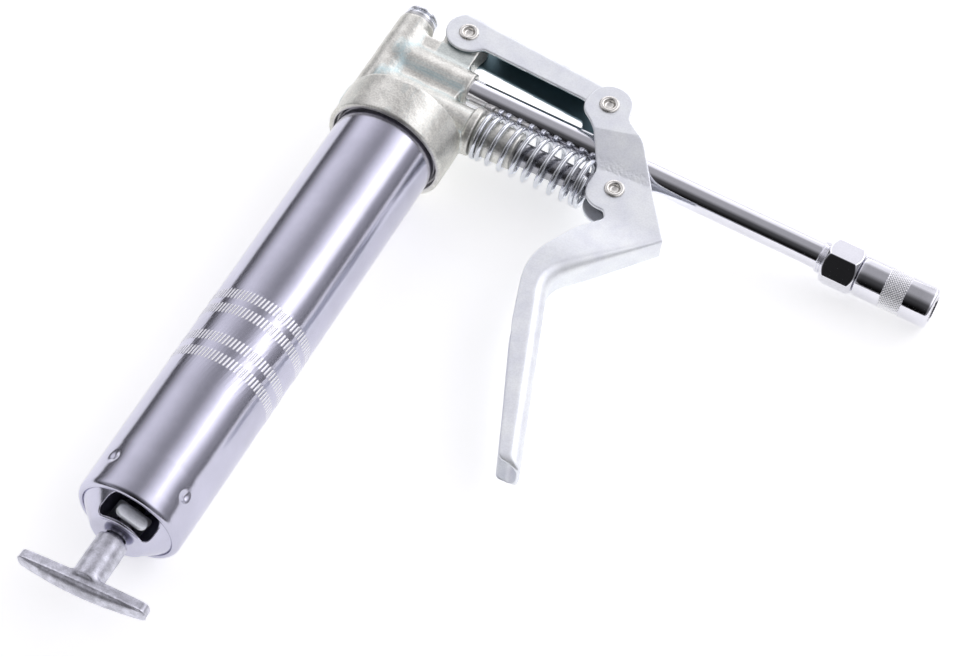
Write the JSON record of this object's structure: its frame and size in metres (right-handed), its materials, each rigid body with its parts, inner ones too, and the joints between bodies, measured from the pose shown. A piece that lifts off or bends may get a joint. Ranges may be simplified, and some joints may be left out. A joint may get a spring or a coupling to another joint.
{
  "type": "grease gun",
  "caption": "One-hand lever grease gun: steel barrel with a T-handle follower rod, cast head with toggle lever and return spring, rigid outlet pipe and jaw coupler.",
  "frame": {"origin": "centre of the coupler's mouth, on the outlet pipe's axis", "axes": "+X out of the coupler's mouth along the outlet pipe; +Y along the barrel towards the valve plug; +Z square to the plane of barrel, pipe and lever, upwards as the gun lies on its side"},
  "size_m": [0.223, 0.2738, 0.0456],
  "materials": {
    "cast_head": "zinc-plated sand casting, satin",
    "barrel_plate": "bright plated drawn steel, satin",
    "plated_sheet": "zinc-plated pressed sheet, satin",
    "polished_chrome": "polished chrome plate",
    "spring_wire": "bright zinc-plated wire",
    "die_cast": "dull die-cast aluminium",
    "dark_steel": "oiled plain steel",
    "ground_steel": "ground plain steel",
    "rivet_steel": "bright nickel-plated steel",
    "bright_zinc": "bright zinc plate",
    "black_rubber": "nitrile rubber, matt",
    "soft_washer": "soft aluminium sealing washer"
  },
  "bodies": {
    "head": {"head_casting": "cast_head", "plug_washer": "soft_washer", "valve_plug": "bright_zinc", "check_spring": "spring_wire", "plunger_seal": "black_rubber", "return_spring": "spring_wire", "outlet_pipe": "polished_chrome", "coupler_body": "polished_chrome", "coupler_spring": "spring_wire"},
    "check_ball": {"check_ball": "ground_steel"},
    "link": {"link": "plated_sheet", "head_rivet": "rivet_steel"},
    "lever": {"lever": "plated_sheet", "link_rivet": "rivet_steel", "plunger_rivet": "rivet_steel"},
    "plunger": {"plunger": "ground_steel"},
    "barrel_gasket": {"barrel_gasket": "black_rubber"},
    "barrel": {"barrel_tube": "barrel_plate", "end_cap": "barrel_plate", "spring_seat": "dark_steel", "follower_spring": "spring_wire", "latch_spring": "spring_wire"},
    "latch": {"latch_plate": "dark_steel"},
    "follower": {"follower_front_plate": "dark_steel", "follower_cup": "black_rubber", "follower_back_plate": "dark_steel"},
    "rod": {"follower_rod": "ground_steel", "rod_nut": "bright_zinc", "t_handle": "die_cast"},
    "coupler_jaws": {"coupler_jaws": "ground_steel"},
    "coupler_sleeve": {"coupler_sleeve": "polished_chrome"},
    "coupler_seal": {"coupler_seal": "black_rubber", "seal_cup": "ground_steel"}
  },
  "joints": [
    {"name": "link_swing", "type": "hinge", "parent": "head", "child": "link", "pos_m": [-0.1954, 0.019, 0], "axis": [0, 0, 1], "range_deg": [0, 5]},
    {"name": "lever_squeeze", "type": "hinge", "parent": "link", "child": "lever", "pos_m": [-0.136, 0.0144, 0], "axis": [0, 0, -1], "range_deg": [0, 30], "stiffness_Nm_per_rad": 1.5, "springref_deg": -8.59},
    {"name": "plunger_stroke", "type": "slide", "parent": "head", "child": "plunger", "axis": [-1, 0, 0], "range_m": [0, 0.014], "deforming": ["return_spring"]},
    {"name": "check_ball_lift", "type": "slide", "parent": "head", "child": "check_ball", "axis": [0, 1, 0], "range_m": [0, 0.0015], "stiffness_N_per_m": 100, "springref_m": -0.003, "deforming": ["check_spring"]},
    {"name": "barrel_travel", "type": "slide", "parent": "head", "child": "barrel_gasket", "axis": [0, -1, 0], "range_m": [0, 0.0076]},
    {"name": "barrel_unscrew", "type": "hinge", "parent": "barrel_gasket", "child": "barrel", "pos_m": [-0.1984, -0.12, 0], "axis": [0, -1, 0], "range_deg": [0, 1800]},
    {"name": "follower_draw", "type": "slide", "parent": "barrel", "child": "follower", "axis": [0, -1, 0], "range_m": [0, 0.118], "stiffness_N_per_m": 500, "springref_m": -0.03, "deforming": ["follower_spring"]},
    {"name": "handle_turn", "type": "hinge", "parent": "follower", "child": "rod", "pos_m": [-0.1984, -0.23, 0], "axis": [0, -1, 0], "continuous": true},
    {"name": "latch_tilt", "type": "hinge", "parent": "barrel", "child": "latch", "pos_m": [-0.20209, -0.2148, -0.01015], "axis": [-0.9397, 0, 0.342], "range_deg": [0, 6], "stiffness_Nm_per_rad": 0.02, "springref_deg": -8.59, "deforming": ["latch_spring"]},
    {"name": "jaw_travel", "type": "slide", "parent": "head", "child": "coupler_jaws", "axis": [1, 0, 0], "range_m": [0, 0.002]},
    {"name": "sleeve_turn", "type": "hinge", "parent": "coupler_jaws", "child": "coupler_sleeve", "pos_m": [-0.0144, 0, 0], "axis": [1, 0, 0], "range_deg": [0, 735]},
    {"name": "seal_give", "type": "slide", "parent": "head", "child": "coupler_seal", "axis": [-1, 0, 0], "range_m": [0, 0.001], "stiffness_N_per_m": 300, "springref_m": -0.002, "deforming": ["coupler_spring"]}
  ],
  "couplings": [
    {"joint": "link_swing", "follows": "lever_squeeze", "ratio": 0.16039},
    {"joint": "plunger_stroke", "follows": "lever_squeeze", "m_per_rad": 0.026301},
    {"joint": "barrel_travel", "follows": "barrel_unscrew", "m_per_rad": 0.00023873},
    {"joint": "sleeve_turn", "follows": "jaw_travel", "rad_per_m": 6283.2}
  ]
}
